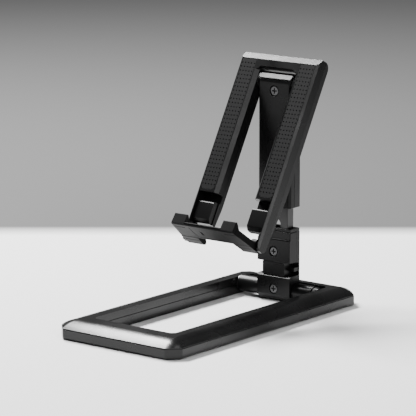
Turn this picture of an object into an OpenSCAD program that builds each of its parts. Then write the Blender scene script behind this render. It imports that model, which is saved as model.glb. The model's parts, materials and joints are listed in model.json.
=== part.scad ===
// Folding desk stand for a phone.
// A ring base, a telescopic column hinged at the back of the ring, a tilting
// back plate with two grip pads and a fold-out ledge with two hooks.
// Frame: millimetres, +Z up, -Y towards the user, +X to the user's right,
// origin at the centre of the base footprint on the desk top.

/* [Base] */
// overall width of the base
base_w = 70; // [68:0.5:76]
// overall length of the base
base_l = 140; // [136:1:160]
// height of the ring's top face
base_h = 8.5; // [8.3:0.1:9.5]
// 45 degree corner cut of the base
corner_c = 5.6; // [3:0.2:8]
// width of the side rails of the ring
rail_w = 11.7; // [11.4:0.1:12.2]
// depth of the front rail
rail_f = 13.7; // [12:0.1:15]
// width of the curved outer bevel
bevel_w = 7.3; // [5.5:0.1:8]

/* [Column] */
// width of the column
col_w = 19; // [17:0.2:19.4]
// height of the top of the lower sleeve
sleeve_top = 36; // [35.5:0.1:36.4]
// length of the inner bar showing between sleeve and arm
gap_open = 10; // [9.9:0.1:12]
// width of the flat inner bar
bar_w = 14.4; // [13:0.1:14.6]

/* [Back plate] */
// width of the back plate
plate_w = 44.8; // [44:0.1:45.2]
// angle the plate leans back, from vertical
lean = 29.7; // [24:0.1:34]
// width of the open window between the plate's rails
window_w = 21.2; // [20.6:0.1:22]

/* [Ledge] */
// how far the ledge stands past a square position
ledge_drop = 7.1; // [4:0.1:9]
// reach of the ledge from its hinge to its hook faces
ledge_a = 17.4; // [16.8:0.1:17.8]

/* [Hidden] */
$fn = 48;
e = 0.01;
z0 = 0.3;                 // underside of the lower shell
crease = 5.2;             // lower edge of the curved bevel
band_top = 4.8;           // top edge of the lower shell's side band
// the bevel's arc: it starts a little above the crease and meets the flat top at a slight angle
bevel_c0 = crease + 0.15;
bevel_in = 1.2;
bevel_z = (base_h + bevel_c0 - ((bevel_w+bevel_in)*(bevel_w+bevel_in) - bevel_in*bevel_in)/(base_h - bevel_c0))/2;
bevel_r = sqrt(bevel_in*bevel_in + (base_h-bevel_z)*(base_h-bevel_z));
hx = base_w/2;
hy = base_l/2;
ox = hx - rail_w;         // half width of the ring's opening
oy0 = -hy + rail_f;       // front end of the opening
oy1 = hy - 10.3;          // rear end of the opening
cut_d = (hx + hy - corner_c)/sqrt(2);
cx = col_w/2;
// base hinge axis
ay = 52.5;
az = 5.5;
barrel_r = 4;
barrel_x = ox - 1.1;       // left end of the hinge barrel
barrel_r_end = ox - 2.9;   // right end; a friction nut fills the rest
// column planes
cy0 = 47.5;
cy1 = 55.5;
by0 = 48.85;              // inner bar, front
by1 = 53.65;              // inner bar, back
bx = bar_w/2;
arm_z0 = sleeve_top + gap_open;
bar_top = 87.4;
// top hinge axis
ty = 51.25;
tz = 104.8;
px = plate_w/2;
wx = window_w/2;
cheek = 20.9;             // inner face of the plate's outer cheeks
lt = -3.6;                // ledge hinge in the plate's frame
lw = -79.6;

// ---- helpers -------------------------------------------------------------
module along_x(x0, x1) translate([x0,0,0]) rotate([90,0,90]) linear_extrude(height=x1-x0) children();
module along_y(y0, y1) translate([0,y1,0]) rotate([90,0,0]) linear_extrude(height=y1-y0) children();
module bore_x(x0, x1, y, z, r) translate([x0,y,z]) rotate([0,90,0]) cylinder(r=r, h=x1-x0);
module bore_y(y0, y1, x, z, r) translate([x,y1,z]) rotate([90,0,0]) cylinder(r=r, h=y1-y0);
module box(x0,x1,y0,y1,za,zb) translate([x0,y0,za]) cube([x1-x0, y1-y0, zb-za]);
module in_plate() translate([0,ty,tz]) rotate([-lean,0,0]) children();
module in_ledge() in_plate() translate([0,lt,lw]) rotate([-ledge_drop,0,0]) children();
module cross_slot(d, w, depth) { translate([-d/2,-w/2,0]) cube([d,w,depth]); translate([-w/2,-d/2,0]) cube([w,d,depth]); }

// ---- base ----------------------------------------------------------------
module bevel_section(h, down) {
  intersection() {
    translate([-h, z0]) square([2*h, base_h - z0]);
    union() {
      translate([-(h - bevel_w - 0.3), z0]) square([2*(h - bevel_w - 0.3), base_h - z0]);
      for (s = [-1, 1]) translate([s*(h - bevel_w - bevel_in), bevel_z - down]) circle(r=bevel_r, $fn=96);
    }
  }
}
module envelope() {
  intersection() {
    along_y(-hy, hy) bevel_section(hx, 0);
    rotate([0,0,90]) along_y(-hx, hx) bevel_section(hy, 0);
    rotate([0,0,45]) along_y(-90, 90) bevel_section(cut_d, 0.05);
    rotate([0,0,-45]) along_y(-90, 90) bevel_section(cut_d, 0.05);
  }
}
module plan(in) { // footprint outline moved inwards
  polygon([[-hx+corner_c, -hy+in], [hx-corner_c, -hy+in], [hx-in, -hy+corner_c], [hx-in, hy-corner_c],
           [hx-corner_c, hy-in], [-hx+corner_c, hy-in], [-hx+in, hy-corner_c], [-hx+in, -hy+corner_c]]);
}
module opening(out) {
  c = 1.8;
  x = ox + out; a = oy0 - out; b = oy1 + out;
  polygon([[-x+c,a],[x-c,a],[x,a+c],[x,b-c],[x-c,b],[-x+c,b],[-x,b-c],[-x,a+c]]);
}
screw_pts = [[-29,-41],[29,-41],[-29,2],[29,2],[-29,41],[29,41],[-12,-63.2],[12,-63.2]];
module rail_cavity(za, zb, w) {
  difference() {
    translate([0,0,za]) linear_extrude(height=zb-za) difference() {
      square([2*(hx-w), 2*(hy-w)], center=true);
      opening(1.8);
    }
    // solid seats for the hinge pins
    for (s = [-1,1]) box(min(s*(ox-1), s*hx), max(s*(ox-1), s*hx), ay-6.5, ay+6.5, za-1, zb+1);
    for (p = screw_pts) translate([p[0],p[1],za-1]) cylinder(r=2.3, h=zb-za+2);
    // solid corners
    for (sx = [-1,1], sy = [-1,1]) translate([sx*hx, sy*hy, za-1]) rotate([0,0,45]) translate([-9,-9,0]) cube([18,18,zb-za+2]);
  }
}
module base_top_shell() color([0.07,0.07,0.075]) difference() {
  intersection() {
    envelope();
    translate([0,0,crease]) linear_extrude(height=6) square([base_w+2, base_l+2], center=true);
  }
  translate([0,0,-1]) linear_extrude(height=14) opening(0);
  rail_cavity(crease-1, 6.4, 3.6);
  for (s=[-1,1]) bore_x(s>0 ? ox-1 : -ox-6.5, s>0 ? ox+6.5 : -ox+1, ay, az, 1.52);
  for (s=[-1,1]) bore_x(s>0 ? ox-1 : -ox-1.41, s>0 ? ox+1.41 : -ox+1, 47.2, 6.9, 1.16);
  for (p = screw_pts) translate([p[0],p[1],crease-1]) cylinder(r=0.85, h=2.4);
}
module base_bottom_shell() color([0.06,0.06,0.065]) difference() {
  union() {
    difference() {
      union() {
        translate([0,0,z0]) linear_extrude(height=band_top-z0) plan(0);
        translate([0,0,band_top-e]) linear_extrude(height=crease-band_top+e) plan(0.5);
      }
      // small cut along the lower outside edges
      for (s=[-1,1]) {
        translate([s*hx, 0, z0]) rotate([0,45,0]) cube([1.1, base_l+2, 1.1], center=true);
        translate([0, s*hy, z0]) rotate([45,0,0]) cube([base_w+2, 1.1, 1.1], center=true);
      }
      translate([0,0,-1]) linear_extrude(height=band_top+1) opening(0);
      translate([0,0,-1]) linear_extrude(height=14) opening(0.4);
    }
    difference() {
      translate([0,0,z0]) linear_extrude(height=band_top-z0) opening(0.41);
      translate([0,0,-1]) linear_extrude(height=14) opening(0);
    }
  }
  rail_cavity(1.8, crease+1, 1.8);
  for (s=[-1,1]) bore_x(s>0 ? ox-1 : -ox-6.5, s>0 ? ox+6.5 : -ox+1, ay, az, 1.52);
  for (p = screw_pts) { translate([p[0],p[1],-1]) cylinder(r=0.95, h=9); translate([p[0],p[1],-1]) cylinder(r=1.7, h=2.4); }
  foot_shapes(0.9, 0.1);
}
module foot_shapes(top, grow) {
  for (sx=[-1,1], y=[-60, -22, 22, 60]) translate([sx*29, y, -1]) translate([0,0,(top+1)/2]) cube([4.4+2*grow, 13+2*grow, top+1], center=true);
}
module base_foot_pads() color([0.16,0.16,0.17]) intersection() {
  foot_shapes(0.9, 0);
  translate([0,0,0]) linear_extrude(height=2) square([200,200], center=true);
}
module base_screws() color([0.4,0.4,0.42]) for (p = screw_pts) translate([p[0],p[1],0]) difference() {
  union() { translate([0,0,0.5]) cylinder(r=1.6, h=0.9); translate([0,0,1.3]) cylinder(r=0.83, h=5.1); }
  translate([0,0,0.4]) cross_slot(1.8, 0.45, 0.6);
}
module base_hinge_pins() color([0.6,0.6,0.62]) for (s=[-1,1])
  bore_x(s>0 ? barrel_r_end-4.2 : -ox-6, s>0 ? ox+6 : -barrel_x+4.2, ay, az, 1.5);
module base_friction_nut() color([0.06,0.06,0.065]) difference() {
  union() {
    bore_x(barrel_r_end+0.25, ox-0.65, ay, az, 3.3);
    bore_x(barrel_r_end+0.65, ox-0.65, ay, az, 3.7);
  }
  bore_x(10, 30, ay, az, 1.52);
}
module base_hinge_washers() color([0.5,0.5,0.52]) for (s=[-1,1]) difference() {
  bore_x(s>0 ? ox-0.6 : -ox, s>0 ? ox : -ox+0.6, ay, az, 3.4);
  bore_x(s>0 ? ox-2 : -ox-1, s>0 ? ox+1 : -ox+2, ay, az, 1.52);
}
module base_stop_studs() color([0.55,0.55,0.57]) for (s=[-1,1])
  bore_x(s>0 ? ox-0.5 : -ox-1.4, s>0 ? ox+1.4 : -ox+0.5, 47.2, 6.9, 1.15);

// ---- lower column --------------------------------------------------------
module block_section(y0, y1) {
  intersection() {
    translate([y0, 0]) square([y1-y0, 30]);
    union() {
      intersection() { translate([cy0, 0]) square([cy1-cy0, az]); translate([ay, az]) circle(r=5.3, $fn=96); }
      polygon([[cy0, az-e],[cy1, az-e],[cy1, 13.1],[cy0+0.8, 13.1],[cy0, 12.3]]);
    }
  }
}
module bar_channel(g, za, zb) box(-bx-g, bx+g, by0-g, by1+g, za, zb);
module hinge_knuckle() color([0.07,0.07,0.075]) difference() {
  union() {
    bore_x(-barrel_x, barrel_r_end, ay, az, barrel_r);
    along_x(-cx, cx) block_section(49.7, cy1);
    // neck
    box(-6.4, 6.4, 49.7, cy1, 13.1-e, 19.3);
    box(-6.4, 6.4, cy0+0.1, 49.7+e, 13.15, 19.3);
    // side ribs of the neck
    for (s=[-1,1]) box(s>0 ? 6.3 : -9.3, s>0 ? 9.3 : -6.3, 51.5, cy1-0.5, 15.2, 17);
    // back strap
    box(-cx, cx, cy1-0.8, cy1, 13.1-e, 19.4);
    box(-cx, cx, 53, cy1, 19.3, sleeve_top-1.6);
  }
  // line along the barrel
  for (s=[-1,1]) translate([s*(barrel_r_end+cx+0.3)/2, ay, az]) rotate([42,0,0]) translate([0,-barrel_r,0]) cube([barrel_r_end-cx-0.3+(s>0 ? 2 : 4.2), 0.8, 0.35], center=true);
  for (s=[-1,1]) bore_x(s>0 ? barrel_r_end-4.4 : -barrel_x-1, s>0 ? barrel_r_end+1 : -barrel_x+4.4, ay, az, 1.56);
  bar_channel(0.05, 20.3, 90);
  bore_y(40, cy0+1.3, 0, 6.4, 2.5);
  bore_y(40, 53.4, 0, 6.4, 1.1);
  bore_y(52.4, 60, 0, 6.4, 2.35, $fn=6);
  bore_y(40, 60, 0, 24.5, 1.1);
  box(-2.05, 2.05, 53.6, 60, 22.55, 26.45);
}
module hinge_block_cover() color([0.07,0.07,0.075]) difference() {
  along_x(-cx, cx) block_section(cy0, 49.6);
  bore_x(-cx-1, cx+1, ay, az, barrel_r+0.07);
  bore_y(cy0-1, cy0+1.2, 0, 6.4, 2.5);
  bore_y(40, 60, 0, 6.4, 1.1);
}
module phillips(z, r, y0, len) difference() {
  union() { bore_y(y0, y0+0.9, 0, z, r); bore_y(y0+0.8, y0+len, 0, z, 1.0); }
  translate([0, y0-0.1, z]) rotate([-90,0,0]) cross_slot(r*1.15, 0.55, 0.6);
}
module nut(y0, y1, z) difference() { bore_y(y0, y1, 0, z, 2.25, $fn=6); bore_y(y0-1, y1+1, 0, z, 1.02); }
module hinge_block_screw() color([0.45,0.45,0.47]) phillips(6.4, 2.3, cy0+0.2, 6.9);
module hinge_block_nut() color([0.5,0.5,0.52]) nut(52.6, 54.9, 6.4);
module sleeve_front_cover() color([0.07,0.07,0.075]) difference() {
  union() {
    difference() {
      along_x(-cx, cx) polygon([[cy0,19.5],[52.95,19.5],[52.95,sleeve_top-1.7],[cy0+0.5,sleeve_top-1.7],[cy0+0.5,31],[cy0,30.4]]);
      bar_channel(0.05, 20.3, 90);
    }
    bore_y(by0-0.4, 52.95, 0, 24.5, 2.6);
  }
  bore_y(40, 60, 0, 24.5, 1.1);
  bore_y(cy0-1, cy0+1.15, 0, 24.5, 2.5);
}
module sleeve_top_collar() color([0.065,0.065,0.07]) difference() {
  box(-cx, cx, cy0+0.5, cy1, sleeve_top-1.55, sleeve_top);
  bar_channel(0.15, 20, 90);
}
module sleeve_screw() color([0.45,0.45,0.47]) phillips(24.5, 2.3, cy0+0.2, 6.1);
module sleeve_nut() color([0.5,0.5,0.52]) translate([0,0,0]) difference() {
  box(-2, 2, 53.75, 55.1, 22.6, 26.4);
  bore_y(50, 60, 0, 24.5, 1.02);
}
module slide_bar() color([0.10,0.10,0.105]) difference() {
  union() { box(-bx, bx, by0, by1, 20.4, bar_top); }
  // slot with round ends
  box(-3.05, 3.05, by0-1, by1+1, 24.9, 37.35);
  bore_y(by0-1, by1+1, 0, 37.35, 3.05);
  bore_y(by0-1, by1+1, 0, 24.9, 3.05);
}

// ---- upper arm -----------------------------------------------------------
module arm_section() {
  intersection() {
    polygon([[cy0,arm_z0],[cy1,arm_z0],[cy1,109],[cy0+2.1,109],[cy0+0.15,107],[cy0+0.15,106.8],[cy0+0.6,106.7],
             [cy0+0.6,106.5],[cy0+0.3,106.35],[cy0+0.05,105.6],[cy0,104.8]]);
    union() {
      translate([40, 0]) square([20, tz]);
      translate([ty, tz]) circle(r=5.0, $fn=96);
    }
  }
}
module arm_solid() difference() {
  along_x(-cx, cx) arm_section();
  for (s=[-1,1]) translate([s*cx, cy0, 80]) rotate([0,0,45]) cube([1.4,1.4,90], center=true);
  box(-bx-0.2, bx+0.2, by0-0.2, by1+0.2, 30, 97.4);
  bore_x(-20, 20, ty, tz, 1.56);
  bore_y(40, 60, 0, 101.2, 1.1);
}
module arm_front_shell() color([0.07,0.07,0.075]) difference() {
  intersection() { arm_solid(); box(-20, 20, 40, ty-0.03, 0, 200); }
  bore_y(cy0-1, cy0+1.2, 0, 101.2, 2.6);
}
module arm_rear_shell() color([0.07,0.07,0.075]) difference() {
  intersection() { arm_solid(); box(-20, 20, ty+0.03, 60, 0, 200); }
  bore_y(53.2, 60, 0, 101.2, 2.35, $fn=6);
  // seat of the friction spring
  box(-2.6, 2.6, 53.8, 54.3, 49.5, 66.5);
}
module arm_clamp_screw() color([0.45,0.45,0.47]) phillips(101.2, 2.45, cy0+0.2, 6.9);
module arm_clamp_nut() color([0.5,0.5,0.52]) nut(53.3, 55.1, 101.2);
module arm_slide_spring() color([0.6,0.6,0.62]) union() {
  box(-2.4, 2.4, 53.87, 54.27, 50, 66);
  box(-2.4, 2.4, 53.68, 53.88, 57, 59);
}

// ---- back plate ----------------------------------------------------------
module plate_outline() { // rails and top bar, seen from the front: x, w
  difference() {
    translate([-px, -90]) square([plate_w, 110]);
    translate([-wx, -100]) square([window_w, 105.45-2]);
    hull_free_top();
  }
}
module hull_free_top() {
  translate([-wx+2, 0]) square([window_w-4, 5.45]);
  for (s=[-1,1]) translate([s*(wx-2), 3.45]) circle(r=2);
}
module front_bevels() { // 45 degree cuts along outer and inner front edges
  for (s=[-1,1]) {
    translate([s*px, -5, -40]) rotate([0,0,45]) cube([1.5,1.5,140], center=true);
    translate([s*wx, -5, -50-1]) rotate([0,0,45]) cube([2.4,2.4,110], center=true);
  }
}
module side_section() { // t, w profile of the whole plate
  polygon([[-5,-79.6],[-4.6,-81.7],[-3.4,-82.9],[-1.2,-83.2],[0.2,-82.6],[1.1,-81.1],[1.5,-75.5],[2.6,-66],[3.9,-56],
           [3.8,9.6],[3.3,10.9],[2.3,12.0],[0.8,12.5],[-2.4,12.3],[-5,8.8]]);
}
module plate_solid() difference() {
  intersection() {
    along_x(-px, px) side_section();
    along_y(-10, 10) plate_outline();
  }
  front_bevels();
  // hook pocket
  for (s=[-1,1]) box(s>0 ? wx-2 : -cheek, s>0 ? cheek : -wx+2, -8, 0.3, -62.85, -59);
  // seat of the rest block and the open foot of the rail
  for (s=[-1,1]) {
    box(s>0 ? wx-2 : -cheek, s>0 ? cheek : -wx+2, -8, -0.6, -73.9, -62.8);
    box(s>0 ? wx-2 : -cheek, s>0 ? cheek : -wx+2, -8, 8, -90, -73.8);
  }
  bore_x(-20, 20, 0, 0, 1.52);
  for (s=[-1,1]) bore_x(s>0 ? cheek-1 : -cheek-0.9, s>0 ? cheek+0.9 : -cheek+1, lt, lw, 0.82);
}
plate_screw_pts = [[-16.6,-50],[16.6,-50],[-16.6,-22],[16.6,-22],[0,8.4]];
module plate_frame() color([0.07,0.07,0.075]) in_plate() difference() {
  intersection() { plate_solid(); union() { box(-40, 40, -10, 0.8, -100, 40); box(-40, 40, -10, 10, -100, -73.85); } }
  // pad seats
  for (s=[-1,1]) pad_shape(s, -8, -4.0, 0);
  // hollow back of the rails
  for (s=[-1,1]) difference() {
    box(s>0 ? 12.4 : -20.6, s>0 ? 20.6 : -12.4, -2.6, 2, -56, -4.5);
    for (p = plate_screw_pts) bore_y(-10, 10, p[0], p[1], 2.4);
  }
  for (p = plate_screw_pts) bore_y(-2.4, 3, p[0], p[1], 0.83);
}
module plate_back_cover() color([0.06,0.06,0.065]) in_plate() difference() {
  intersection() { plate_solid(); box(-40, 40, 0.85, 10, -73.8, 40); }
  // bevel around the window on the back
  for (s=[-1,1]) translate([s*wx, 3.9, -50]) rotate([0,0,45]) cube([1.6,1.6,110], center=true);
  for (p = plate_screw_pts) { bore_y(-2.4, 9, p[0], p[1], 0.95); bore_y(2.9, 9, p[0], p[1], 1.8); }
}
module plate_back_screws() color([0.45,0.45,0.47]) in_plate() for (p = plate_screw_pts) difference() {
  union() { bore_y(2.95, 3.7, p[0], p[1], 1.65); bore_y(-2.2, 3.0, p[0], p[1], 0.8); }
  translate([p[0], 3.8, p[1]]) rotate([90,0,0]) cross_slot(1.9, 0.45, 0.5);
}
module pad_shape(s, t0, t1, g) {
  xa = 12.8+g; xb = 21.15-g; wb = -57.9+g; wt = 8.45-g; r = 2.4;
  along_y(t0, t1) mirror([s>0 ? 0 : 1, 0]) union() {
    translate([xa, wb+r]) square([xb-xa, wt-wb-r]);
    translate([xa+r, wb]) square([xb-xa-2*r, r+1]);
    translate([xa+r, wb+r]) circle(r=r);
    translate([xb-r, wb+r]) circle(r=r);
  }
}
module grip_pad_left() color([0.2,0.2,0.21]) in_plate() pad_shape(-1, -4.98, -4.0, 0.1);
module grip_pad_right() color([0.2,0.2,0.21]) in_plate() pad_shape(1, -4.98, -4.0, 0.1);
module rest_block(s) in_plate() along_x(s>0 ? wx+0.5 : -cheek+0.1, s>0 ? cheek-0.1 : -wx-0.5)
  polygon([[-3.9,-71.9],[-3.9,-64.2],[-3.7,-63.6],[-3.25,-63.1],[-2.5,-62.9],[-0.6,-62.9],[-0.6,-73.8],[-2.2,-73.8],[-2.9,-73.2]]);
module rest_block_left() color([0.07,0.07,0.075]) rest_block(-1);
module rest_block_right() color([0.07,0.07,0.075]) rest_block(1);
module plate_hinge_axle() color([0.6,0.6,0.62]) in_plate() bore_x(-19.6, 19.6, 0, 0, 1.5);
module plate_hinge_washers() color([0.5,0.5,0.52]) in_plate() for (s=[-1,1]) difference() {
  bore_x(s>0 ? wx-0.8 : -wx, s>0 ? wx : -wx+0.8, 0, 0, 3.2);
  bore_x(s>0 ? wx-2 : -wx-1, s>0 ? wx+1 : -wx+2, 0, 0, 1.52);
}
module ledge_hinge_pins() color([0.6,0.6,0.62]) in_plate() for (s=[-1,1])
  bore_x(s>0 ? 17.5 : -cheek-0.8, s>0 ? cheek+0.8 : -17.5, lt, lw, 0.8);

// ---- ledge ---------------------------------------------------------------
// own frame: -y is out towards the user, z is up from the ledge's floor
module ledge_plan() {
  A = ledge_a;
  polygon([[-17.8,-A],[17.8,-A],[20.2,-3.3],[20.4,1],[20.4,4.4],[11.4,4.4],[11.4,1.5],[10.3,-4],
           [-10.3,-4],[-11.4,1.5],[-11.4,4.4],[-20.4,4.4],[-20.4,1],[-20.2,-3.3]]);
}
module ledge() color([0.07,0.07,0.075]) in_ledge() difference() {
  A = ledge_a;
  intersection() {
    translate([0,0,-6]) linear_extrude(height=12) ledge_plan();
    union() {
      // arms
      for (s=[-1,1]) along_x(s>0 ? 10.3 : -21, s>0 ? 21 : -10.3)
        polygon([[-A+2.1,-2.6],[-A+2.1,-0.5],[2.2,-0.5],[3.5,-1.0],[4.2,-1.8],[4.4,-2.5],[4.1,-3.1],[3.3,-3.55],[-4,-3.65],[-4,-2.6]]);
      // hinge eyes
      for (s=[-1,1]) bore_x(s>0 ? 17.4 : -20.4, s>0 ? 20.4 : -17.4, 0, 0, 2);
      // floor between the arms
      along_x(-10.4, 10.4) polygon([[-A+0.9,-3.5],[-A+0.2,-3.1],[-A,-2.5],[-A+0.5,-1.9],[-4,-1.9],[-4,-3.5]]);
      // front strip below the hooks and floor below the arms
      along_x(-21, 21) polygon([[-A+0.9,-3.55],[-A+0.25,-3.2],[-A+3.8,-3.2],[-A+3.8,-3.55]]);
      along_x(-21, 21) polygon([[-A+2.2,-3.55],[-A+2.2,-2.5],[-4,-2.5],[-4,-3.55]]);
    }
  }
  for (s=[-1,1]) bore_x(s>0 ? 17.3 : -22, s>0 ? 22 : -17.3, 0, 0, 0.86);
  // shallow lines across the underside of the arms
  for (s=[-1,1]) for (y=[-A+3.2, -1.2]) box(s>0 ? 11.5 : -19.3, s>0 ? 19.3 : -11.5, y-0.2, y+0.2, -4, -3.4);
  // seat of the underside cover
  translate([0,0,-5]) linear_extrude(height=5-3.05) cover_plan(0.1);
}
module cover_plan(g) polygon([[-9.2-g,-ledge_a+2.6-g],[9.2+g,-ledge_a+2.6-g],[9.2+g,-5.4+g],[-9.2-g,-5.4+g]]);
module ledge_underside_cover() color([0.06,0.06,0.065]) in_ledge() difference() {
  translate([0,0,-3.5]) linear_extrude(height=0.4) cover_plan(0);
  box(-4.4, -3.6, -12, -8.4, -6, 0);
}
module hook_pad(s) in_ledge() intersection() {
  along_x(s>0 ? 10.4 : -18.6, s>0 ? 18.6 : -10.4)
    polygon([[-ledge_a+0.05,-3.15],[-ledge_a+0.15,1.7],[-ledge_a+0.35,1.95],[-ledge_a+0.8,1.95],[-ledge_a+3.65,-0.45],[-ledge_a+2.05,-0.45],[-ledge_a+2.05,-3.15]]);
  translate([0,0,-6]) linear_extrude(height=12) ledge_plan();
}
module hook_pad_left() color([0.2,0.2,0.21]) hook_pad(-1);
module hook_pad_right() color([0.2,0.2,0.21]) hook_pad(1);

// ---- draw ----------------------------------------------------------------
base_top_shell();
base_bottom_shell();
base_foot_pads();
base_screws();
base_hinge_pins();
base_hinge_washers();
base_friction_nut();
base_stop_studs();
hinge_knuckle();
hinge_block_cover();
hinge_block_screw();
hinge_block_nut();
sleeve_front_cover();
sleeve_top_collar();
sleeve_screw();
sleeve_nut();
slide_bar();
arm_front_shell();
arm_rear_shell();
arm_clamp_screw();
arm_clamp_nut();
arm_slide_spring();
plate_frame();
plate_back_cover();
plate_back_screws();
grip_pad_left();
grip_pad_right();
rest_block_left();
rest_block_right();
plate_hinge_axle();
plate_hinge_washers();
ledge_hinge_pins();
ledge();
ledge_underside_cover();
hook_pad_left();
hook_pad_right();
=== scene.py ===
import bpy, bmesh, math, json
from mathutils import Vector, Matrix


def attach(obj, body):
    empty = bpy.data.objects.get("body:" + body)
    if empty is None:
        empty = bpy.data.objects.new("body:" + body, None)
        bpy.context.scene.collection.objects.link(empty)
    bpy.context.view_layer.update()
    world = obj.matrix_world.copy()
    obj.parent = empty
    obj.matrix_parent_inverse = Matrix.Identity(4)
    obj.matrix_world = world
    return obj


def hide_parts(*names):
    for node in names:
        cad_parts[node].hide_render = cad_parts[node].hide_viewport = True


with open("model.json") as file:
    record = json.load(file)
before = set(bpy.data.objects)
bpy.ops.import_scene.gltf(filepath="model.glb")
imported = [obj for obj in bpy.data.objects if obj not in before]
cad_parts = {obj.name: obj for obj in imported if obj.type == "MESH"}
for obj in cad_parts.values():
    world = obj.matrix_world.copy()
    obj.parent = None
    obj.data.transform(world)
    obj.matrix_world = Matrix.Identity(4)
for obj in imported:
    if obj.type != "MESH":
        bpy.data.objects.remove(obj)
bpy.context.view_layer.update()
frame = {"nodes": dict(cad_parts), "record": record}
nodes = frame["nodes"]
MM = 0.001


# ------------------------------------------------------------------ materials
def new_mat(name):
    m = bpy.data.materials.new(name)
    m.use_nodes = True
    nt = m.node_tree
    b = nt.nodes["Principled BSDF"]
    return m, nt, b


def sock(b, names, v):
    for n in names:
        if n in b.inputs:
            b.inputs[n].default_value = v
            return


def plastic(name, base, rough, grain=0.0, spread=0.05, wear=0.0, ior=1.5, scale=2500.0, spec=0.5):
    """moulded black plastic: fine grain in the bump, slow roughness changes"""
    m, nt, b = new_mat(name)
    L = nt.links
    tc = nt.nodes.new("ShaderNodeTexCoord")
    n1 = nt.nodes.new("ShaderNodeTexNoise")
    n1.inputs["Scale"].default_value = 60.0
    n1.inputs["Detail"].default_value = 4.0
    L.new(tc.outputs["Object"], n1.inputs["Vector"])
    r = nt.nodes.new("ShaderNodeMapRange")
    r.inputs["From Min"].default_value = 0.3
    r.inputs["From Max"].default_value = 0.7
    r.inputs["To Min"].default_value = rough - spread
    r.inputs["To Max"].default_value = rough + spread
    L.new(n1.outputs["Fac"], r.inputs["Value"])
    L.new(r.outputs["Result"], b.inputs["Roughness"])
    c = nt.nodes.new("ShaderNodeMapRange")
    c.inputs["From Min"].default_value = 0.25
    c.inputs["From Max"].default_value = 0.75
    c.inputs["To Min"].default_value = base * 0.92
    c.inputs["To Max"].default_value = base * 1.08
    L.new(n1.outputs["Fac"], c.inputs["Value"])
    comb = nt.nodes.new("ShaderNodeCombineColor")
    for ch, k in (("Red", 1.0), ("Green", 1.0), ("Blue", 1.03)):
        mm = nt.nodes.new("ShaderNodeMath")
        mm.operation = "MULTIPLY"
        mm.inputs[1].default_value = k
        L.new(c.outputs["Result"], mm.inputs[0])
        L.new(mm.outputs[0], comb.inputs[ch])
    L.new(comb.outputs["Color"], b.inputs["Base Color"])
    if grain > 0:
        n2 = nt.nodes.new("ShaderNodeTexNoise")
        n2.inputs["Scale"].default_value = scale
        n2.inputs["Detail"].default_value = 2.0
        L.new(tc.outputs["Object"], n2.inputs["Vector"])
        bp = nt.nodes.new("ShaderNodeBump")
        bp.inputs["Strength"].default_value = grain
        bp.inputs["Distance"].default_value = 0.00006
        L.new(n2.outputs["Fac"], bp.inputs["Height"])
        L.new(bp.outputs["Normal"], b.inputs["Normal"])
    b.inputs["IOR"].default_value = ior
    sock(b, ["Specular IOR Level", "Specular"], spec)
    return m


def steel(name, base, rough):
    m, nt, b = new_mat(name)
    L = nt.links
    tc = nt.nodes.new("ShaderNodeTexCoord")
    n1 = nt.nodes.new("ShaderNodeTexNoise")
    n1.inputs["Scale"].default_value = 900.0
    n1.inputs["Detail"].default_value = 3.0
    L.new(tc.outputs["Object"], n1.inputs["Vector"])
    r = nt.nodes.new("ShaderNodeMapRange")
    r.inputs["To Min"].default_value = rough - 0.08
    r.inputs["To Max"].default_value = rough + 0.08
    L.new(n1.outputs["Fac"], r.inputs["Value"])
    L.new(r.outputs["Result"], b.inputs["Roughness"])
    b.inputs["Base Color"].default_value = (base, base, base * 1.02, 1)
    b.inputs["Metallic"].default_value = 1.0
    return m


M_SATIN = plastic("plastic_satin", 0.0038, 0.30, grain=0.30, spec=0.12)
M_BASE = plastic("plastic_base", 0.004, 0.26, grain=0.2, spec=0.28)
M_MATTE = plastic("plastic_matte", 0.0035, 0.42, grain=0.4, spec=0.20)
M_BAR = plastic("bar_black", 0.006, 0.34, grain=0.3, spec=0.3)
M_RUB = plastic("grip_rubber", 0.0045, 0.62, grain=0.5, spread=0.04, scale=1800.0, spec=0.10)
# dimple rubber: its darker colour is painted shade inside the dimples, with a duller finish
M_DOT_SHADE = plastic("grip_rubber_dimple_shade", 0.0015, 0.8, grain=0.0, spec=0.05)
M_STEEL = steel("plated_steel", 0.075, 0.36)
# black non-metal for the screws' cross recess: painted shade inside the recess
M_RECESS_SHADE = plastic("screw_recess_shade", 0.006, 0.6, grain=0.0, spec=0.2)
SLOT_MAT = {"plastic_satin": M_SATIN, "plastic_matte": M_MATTE, "bar_black": M_BAR, "grip_rubber": M_RUB, "plated_steel": M_STEEL}

slot_of = {s["node"]: s["material_slot"] for s in frame["record"]["subparts"]}
for n, o in nodes.items():
    o.data.materials.clear()
    o.data.materials.append(SLOT_MAT[slot_of[n]])

for n in ("base_top_shell", "base_bottom_shell"):
    nodes[n].data.materials.clear()
    nodes[n].data.materials.append(M_BASE)

M_LEDGE = plastic("plastic_ledge", 0.0035, 0.38, grain=0.35, spec=0.04)
for n in ("ledge", "ledge_underside_cover", "hook_pad_left", "hook_pad_right"):
    nodes[n].data.materials.clear()
    nodes[n].data.materials.append(M_LEDGE)

BEV = {"base_top_shell": 0.35, "base_bottom_shell": 0.2, "hinge_knuckle": 0.3, "hinge_block_cover": 0.35, "sleeve_front_cover": 0.3,
       "sleeve_top_collar": 0.3, "slide_bar": 0.3, "arm_front_shell": 0.25, "arm_rear_shell": 0.5, "plate_frame": 0.15, "plate_back_cover": 0.45,
       "rest_block_left": 0.3, "rest_block_right": 0.3, "ledge": 0.3, "hook_pad_left": 0.35, "hook_pad_right": 0.35, "grip_pad_left": 0.2,
       "grip_pad_right": 0.2, "base_foot_pads": 0.25, "ledge_underside_cover": 0.12}


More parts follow.
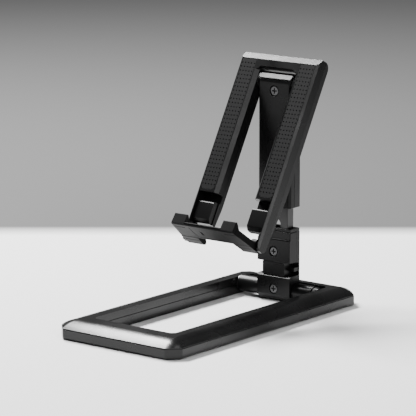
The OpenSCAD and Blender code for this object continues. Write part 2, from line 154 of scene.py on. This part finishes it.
def soften(o, w, seg=3, angle=28):
    wd = o.modifiers.new("weld", "WELD")
    wd.merge_threshold = 0.000001
    b = o.modifiers.new("bevel", "BEVEL")
    b.width = w * MM
    b.segments = seg
    b.limit_method = "ANGLE"
    b.angle_limit = math.radians(angle)
    b.harden_normals = True
    b.use_clamp_overlap = True
    for p in o.data.polygons:
        p.use_smooth = True
    if "custom_normal" in o.data.attributes:
        o.data.attributes.remove(o.data.attributes["custom_normal"])


for n, o in nodes.items():
    if n in BEV:
        soften(o, BEV[n])
        wn = o.modifiers.new("weighted", "WEIGHTED_NORMAL")
        wn.keep_sharp = True
        wn.weight = 50
    else:
        soften(o, 0.08, 2)

# ------------------------------------------------------------------ detailed pieces
PH = math.radians(29.7)


def W(x, t, w):
    """a point of the back plate's own frame, in the row frame, in metres"""
    return Vector((x, 51.25 + t * math.cos(PH) + w * math.sin(PH), 104.8 - t * math.sin(PH) + w * math.cos(PH))) * MM


def mesh_object(name, verts, faces, mats, fmat, body, replaced, smooth=True):
    me = bpy.data.meshes.new(name)
    me.from_pydata([tuple(v) for v in verts], [], faces)
    for m in mats:
        me.materials.append(m)
    for p, k in zip(me.polygons, fmat):
        p.material_index = k
        p.use_smooth = smooth
    me.validate()
    o = bpy.data.objects.new(name, me)
    bpy.context.scene.collection.objects.link(o)
    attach(o, body)
    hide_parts(*replaced)
    return o


def outline(xa, xb, wb, wt, r, n=8):
    """pad outline, anticlockwise seen from the front, with round lower corners"""
    pts = []
    for k in range(n + 1):
        a = math.pi + k * math.pi / 2 / n
        pts.append((xa + r + r * math.cos(a), wb + r + r * math.sin(a)))
    for k in range(n + 1):
        a = 1.5 * math.pi + k * math.pi / 2 / n
        pts.append((xb - r + r * math.cos(a), wb + r + r * math.sin(a)))
    return pts


def dotted_pad(name, sg, node):
    xa, xb, wb, wt, r = 12.9, 21.05, -57.8, 8.35, 2.3
    t0, t1, dimple, dr = -4.98, -4.05, 0.40, 0.36
    rows, pitch, w_lo = 31, 2.05, -56.3
    w_hi = w_lo + rows * pitch
    cx = (xa + xb) / 2
    xs = [xa, cx - 2.58, cx - 0.86, cx + 0.86, cx + 2.58, xb]
    dots = [cx + 1.72 * k for k in (-2, -1, 0, 1, 2)]
    V, Fc, M = [], [], []

    def v(x, t, w):
        V.append(W(sg * x, t, w))
        return len(V) - 1

    def face(ids, m=0):
        Fc.append(tuple(ids) if sg > 0 else tuple(reversed(ids)))
        M.append(m)

    def xlim(w):
        """half-width limits at height w, because of the round corners"""
        if w >= wb + r:
            return xa, xb
        q = math.sqrt(max(0.0, r * r - (wb + r - w) ** 2))
        return xa + r - q, xb - r + q

    # dotted field
    N = 8
    for i in range(rows):
        wa, wc_, wz = w_lo + i * pitch, w_lo + (i + 0.5) * pitch, w_lo + (i + 1) * pitch
        for j in range(5):
            x0, x1 = xs[j], xs[j + 1]
            la, lb = xlim(wa)
            ua, ub = xlim(wz)
            c = [(max(x0, la) if j == 0 else x0, wa), (min(x1, lb) if j == 4 else x1, wa),
                 (min(x1, ub) if j == 4 else x1, wz), (max(x0, ua) if j == 0 else x0, wz)]
            mid = [((c[k][0] + c[(k + 1) % 4][0]) / 2, (c[k][1] + c[(k + 1) % 4][1]) / 2) for k in range(4)]
            ring = [c[0], mid[0], c[1], mid[1], c[2], mid[2], c[3], mid[3]]
            R0 = [v(p[0], t0, p[1]) for p in ring]
            dc = (dots[j], wc_)
            ang0 = [math.atan2(p[1] - dc[1], p[0] - dc[0]) for p in ring]
            R1 = [v(dc[0] + dr * math.cos(a), t0, dc[1] + dr * math.sin(a)) for a in ang0]
            R2 = [v(dc[0] + dr * 0.86 * math.cos(a), t0 + dimple * 0.5, dc[1] + dr * 0.86 * math.sin(a)) for a in ang0]
            R3 = [v(dc[0] + dr * 0.5 * math.cos(a), t0 + dimple, dc[1] + dr * 0.5 * math.sin(a)) for a in ang0]
            # dimple walls and floors take material 1, the darker rubber that paints shade into the dimples
            for k in range(8):
                q = (k + 1) % 8
                face((R0[k], R0[q], R1[q], R1[k]))
                face((R1[k], R1[q], R2[q], R2[k]), 1)
                face((R2[k], R2[q], R3[q], R3[k]), 1)
            face(R3, 1)
    # lower strip with round corners, upper strip
    n = 10
    low = []
    for k in range(n + 1):
        w = wb + (w_lo - wb) * (k / n) ** 2
        low.append((w,) + xlim(w))
    for k in range(n):
        a, b = low[k], low[k + 1]
        face((v(a[1], t0, a[0]), v(a[2], t0, a[0]), v(b[2], t0, b[0]), v(b[1], t0, b[0])))
    face((v(xa, t0, w_hi), v(xb, t0, w_hi), v(xb, t0, wt), v(xa, t0, wt)))
    # sides and back
    pts = []
    for k in range(n + 1):
        pts.append((low[n - k][1], low[n - k][0]))
    for k in range(n + 1):
        pts.append((low[k][2], low[k][0]))
    lo_n = 10
    right_side = []
    for k in range(1, lo_n + 1):
        w = w_lo + (wb + r - w_lo) * k / lo_n
        right_side.append((xlim(w)[1], w))
    left_side = [(xa + xb - p[0], p[1]) for p in reversed(right_side)]
    pts = pts + right_side + [(xb, wt), (xa, wt)] + left_side
    F0 = [v(p[0], t0, p[1]) for p in pts]
    F1 = [v(p[0], t1, p[1]) for p in pts]
    m = len(pts)
    for k in range(m):
        q = (k + 1) % m
        face((F0[k], F1[k], F1[q], F0[q]))
    face(tuple(reversed(F1)))
    return mesh_object(name, V, Fc, [M_RUB, M_DOT_SHADE], M, "plate", [node], smooth=False)


dotted_pad("grip_pad_left_dimpled", -1, "grip_pad_left")
dotted_pad("grip_pad_right_dimpled", 1, "grip_pad_right")


def screw(name, node, body, z, r, y0, length):
    """cross-recess screw with a flat head, a rounded rim and a tapered cross"""
    V, Fc, M = [], [], []

    def v(x, d, zz):
        V.append(Vector((x, y0 + d, z + zz)) * MM)
        return len(V) - 1

    n = 48
    rings = [(r - 0.22, 0.0), (r - 0.08, 0.05), (r, 0.2), (r, 0.85), (1.0, 0.87), (1.0, length - 0.3), (0.6, length)]
    R = [[v(a * math.cos(2 * math.pi * k / n), d, a * math.sin(2 * math.pi * k / n)) for k in range(n)] for a, d in rings]
    for p, q in zip(R, R[1:]):
        for k in range(n):
            Fc.append((p[k], p[(k + 1) % n], q[(k + 1) % n], q[k]))
            M.append(0)
    Fc.append(tuple(R[-1]))
    M.append(0)
    h, g = (r - 0.22) * 0.72, 0.34
    # plus outline, 12 corners, starting at +x side, anticlockwise in x,z
    plus = [(h, -g), (h, g), (g, g), (g, h), (-g, h), (-g, g), (-h, g), (-h, -g), (-g, -g), (-g, -h), (g, -h), (g, -g)]
    P0 = [v(x, 0.0, zz) for x, zz in plus]
    P1 = [v(x * 0.62, 0.6, zz * 0.62) for x, zz in plus]
    # the cross recess walls and floor take material 1, the black that paints shade into the recess
    for k in range(12):
        q = (k + 1) % 12
        Fc.append((P0[k], P0[q], P1[q], P1[k]))
        M.append(1)
    Fc.append(tuple(P1))
    M.append(1)
    # flat face between the rim and the cross: each rim point joins the nearest cross corner, going round together
    ring = R[0]
    ang = [math.atan2(zz, x) % (2 * math.pi) for x, zz in plus]
    order = sorted(range(12), key=lambda k: ang[k])
    i = j = 0
    steps = []
    ra = [2 * math.pi * k / n for k in range(n)]
    pa = [ang[k] for k in order]
    while i < n or j < 12:
        a = ring[i % n]
        b = P0[order[j % 12]]
        if j >= 12 or (i < n and (ra[(i + 1) % n] + (2 * math.pi if i + 1 >= n else 0)) <= (pa[(j + 1) % 12] + (2 * math.pi if j + 1 >= 12 else 0))):
            Fc.append((a, ring[(i + 1) % n], b))
            i += 1
        else:
            Fc.append((a, P0[order[(j + 1) % 12]], b))
            j += 1
        M.append(0)
    o = mesh_object(name, V, Fc, [M_STEEL, M_RECESS_SHADE], M, body, [node], smooth=False)
    bm = bmesh.new()
    bm.from_mesh(o.data)
    bmesh.ops.remove_doubles(bm, verts=bm.verts, dist=1e-7)
    bmesh.ops.recalc_face_normals(bm, faces=bm.faces)
    bm.to_mesh(o.data)
    bm.free()
    return o


screw("screw_arm", "arm_clamp_screw", "upper_arm", 101.2, 2.2, 47.65, 6.9)
screw("screw_sleeve", "sleeve_screw", "column_lower", 24.5, 2.05, 47.65, 6.1)
screw("screw_block", "hinge_block_screw", "column_lower", 6.4, 2.05, 47.65, 6.9)

# ------------------------------------------------------------------ camera
A, E = math.radians(38.3389), math.radians(11.4708)
F, D, TX, TY = 2800.0, 1291.15, 3.0637, -112.573
right = Vector((math.cos(A), math.sin(A), 0))
back = Vector((math.sin(A) * math.cos(E), -math.cos(A) * math.cos(E), math.sin(E)))
up = back.cross(right)
C = right * (-TX * D / F) + up * (-TY * D / F) + back * D
cam = bpy.data.cameras.new("camera")
cam.sensor_width = 36.0
cam.lens = F / 416.0 * 36.0
cam.clip_start = 0.05
cam.clip_end = 20.0
co = bpy.data.objects.new("camera", cam)
bpy.context.scene.collection.objects.link(co)
R = Matrix((right, up, back)).transposed()
co.matrix_world = Matrix.Translation(C * MM) @ R.to_4x4()
bpy.context.scene.camera = co

# ------------------------------------------------------------------ floor and light
def plane(name, x0, x1, y0, y1, z, mat):
    me = bpy.data.meshes.new(name)
    me.from_pydata([(x0, y0, z), (x1, y0, z), (x1, y1, z), (x0, y1, z)], [], [(0, 1, 2, 3)])
    me.materials.append(mat)
    o = bpy.data.objects.new(name, me)
    bpy.context.scene.collection.objects.link(o)
    return o


# one wide floor: pale cloth near the object, darker towards the back, where the dark grey is painted shade standing in
# for the dimly lit backdrop
mfloor, nt, b = new_mat("floor_painted_backdrop_shade")
b.inputs["Roughness"].default_value = 0.85
sock(b, ["Specular IOR Level", "Specular"], 0.05)
tc = nt.nodes.new("ShaderNodeTexCoord")
dt = nt.nodes.new("ShaderNodeVectorMath")
dt.operation = "DOT_PRODUCT"
bh = Vector((math.sin(A), -math.cos(A), 0))
ray = -back * F + up * (208.0 - 231.0)
hit = C + ray * (-C.z / ray.z)
edge = -(hit.dot(bh)) * MM
dt.inputs[1].default_value = (-bh.x, -bh.y, 0)
nt.links.new(tc.outputs["Object"], dt.inputs[0])
mr = nt.nodes.new("ShaderNodeMapRange")
mr.inputs["From Min"].default_value = edge - 0.012
mr.inputs["From Max"].default_value = edge + 0.012
mr.inputs["To Min"].default_value = 0.82
# far value: painted shade of the backdrop
mr.inputs["To Max"].default_value = 0.115
nt.links.new(dt.outputs["Value"], mr.inputs["Value"])
cc = nt.nodes.new("ShaderNodeCombineColor")
for ch in ("Red", "Green", "Blue"):
    nt.links.new(mr.outputs["Result"], cc.inputs[ch])
nt.links.new(cc.outputs["Color"], b.inputs["Base Color"])
plane("floor", -4, 4, -4, 4, 0.0, mfloor)

w = bpy.data.worlds.new("world")
bpy.context.scene.world = w
w.use_nodes = True
w.node_tree.nodes["Background"].inputs["Color"].default_value = (0.9, 0.9, 0.9, 1)
w.node_tree.nodes["Background"].inputs["Strength"].default_value = 0.12


def area(name, loc, target, size, size_y, power):
    l = bpy.data.lights.new(name, "AREA")
    l.shape = "RECTANGLE"
    l.size = size
    l.size_y = size_y
    l.energy = power
    o = bpy.data.objects.new(name, l)
    bpy.context.scene.collection.objects.link(o)
    o.location = loc
    d = Vector(target) - Vector(loc)
    o.rotation_euler = d.to_track_quat("-Z", "Y").to_euler()
    return o


def strip(name, p1, p2, target, width, power, dist):
    """a long soft light from direction p1 to direction p2"""
    a, b = Vector(p1) * dist, Vector(p2) * dist
    o = area(name, (a + b) / 2, target, (b - a).length, width, power)
    z = ((a + b) / 2 - Vector(target)).normalized()
    x = (b - a).normalized()
    x = (x - z * x.dot(z)).normalized()
    y = z.cross(x)
    o.rotation_euler = Matrix((x, y, z)).transposed().to_euler()
    return o


strip("key_left", (-0.608, -0.20, 0.85), (-0.608, 0.46, 0.83), (0, 0, 0.06), 0.24, 44.0, 1.0)
area("right_front", (0.77, -0.42, 0.50), (0, 0, 0.05), 0.22, 0.4, 5.0)
area("top_soft", (0.25, 0.45, 1.15), (0, 0, 0.0), 0.5, 0.5, 3.0)

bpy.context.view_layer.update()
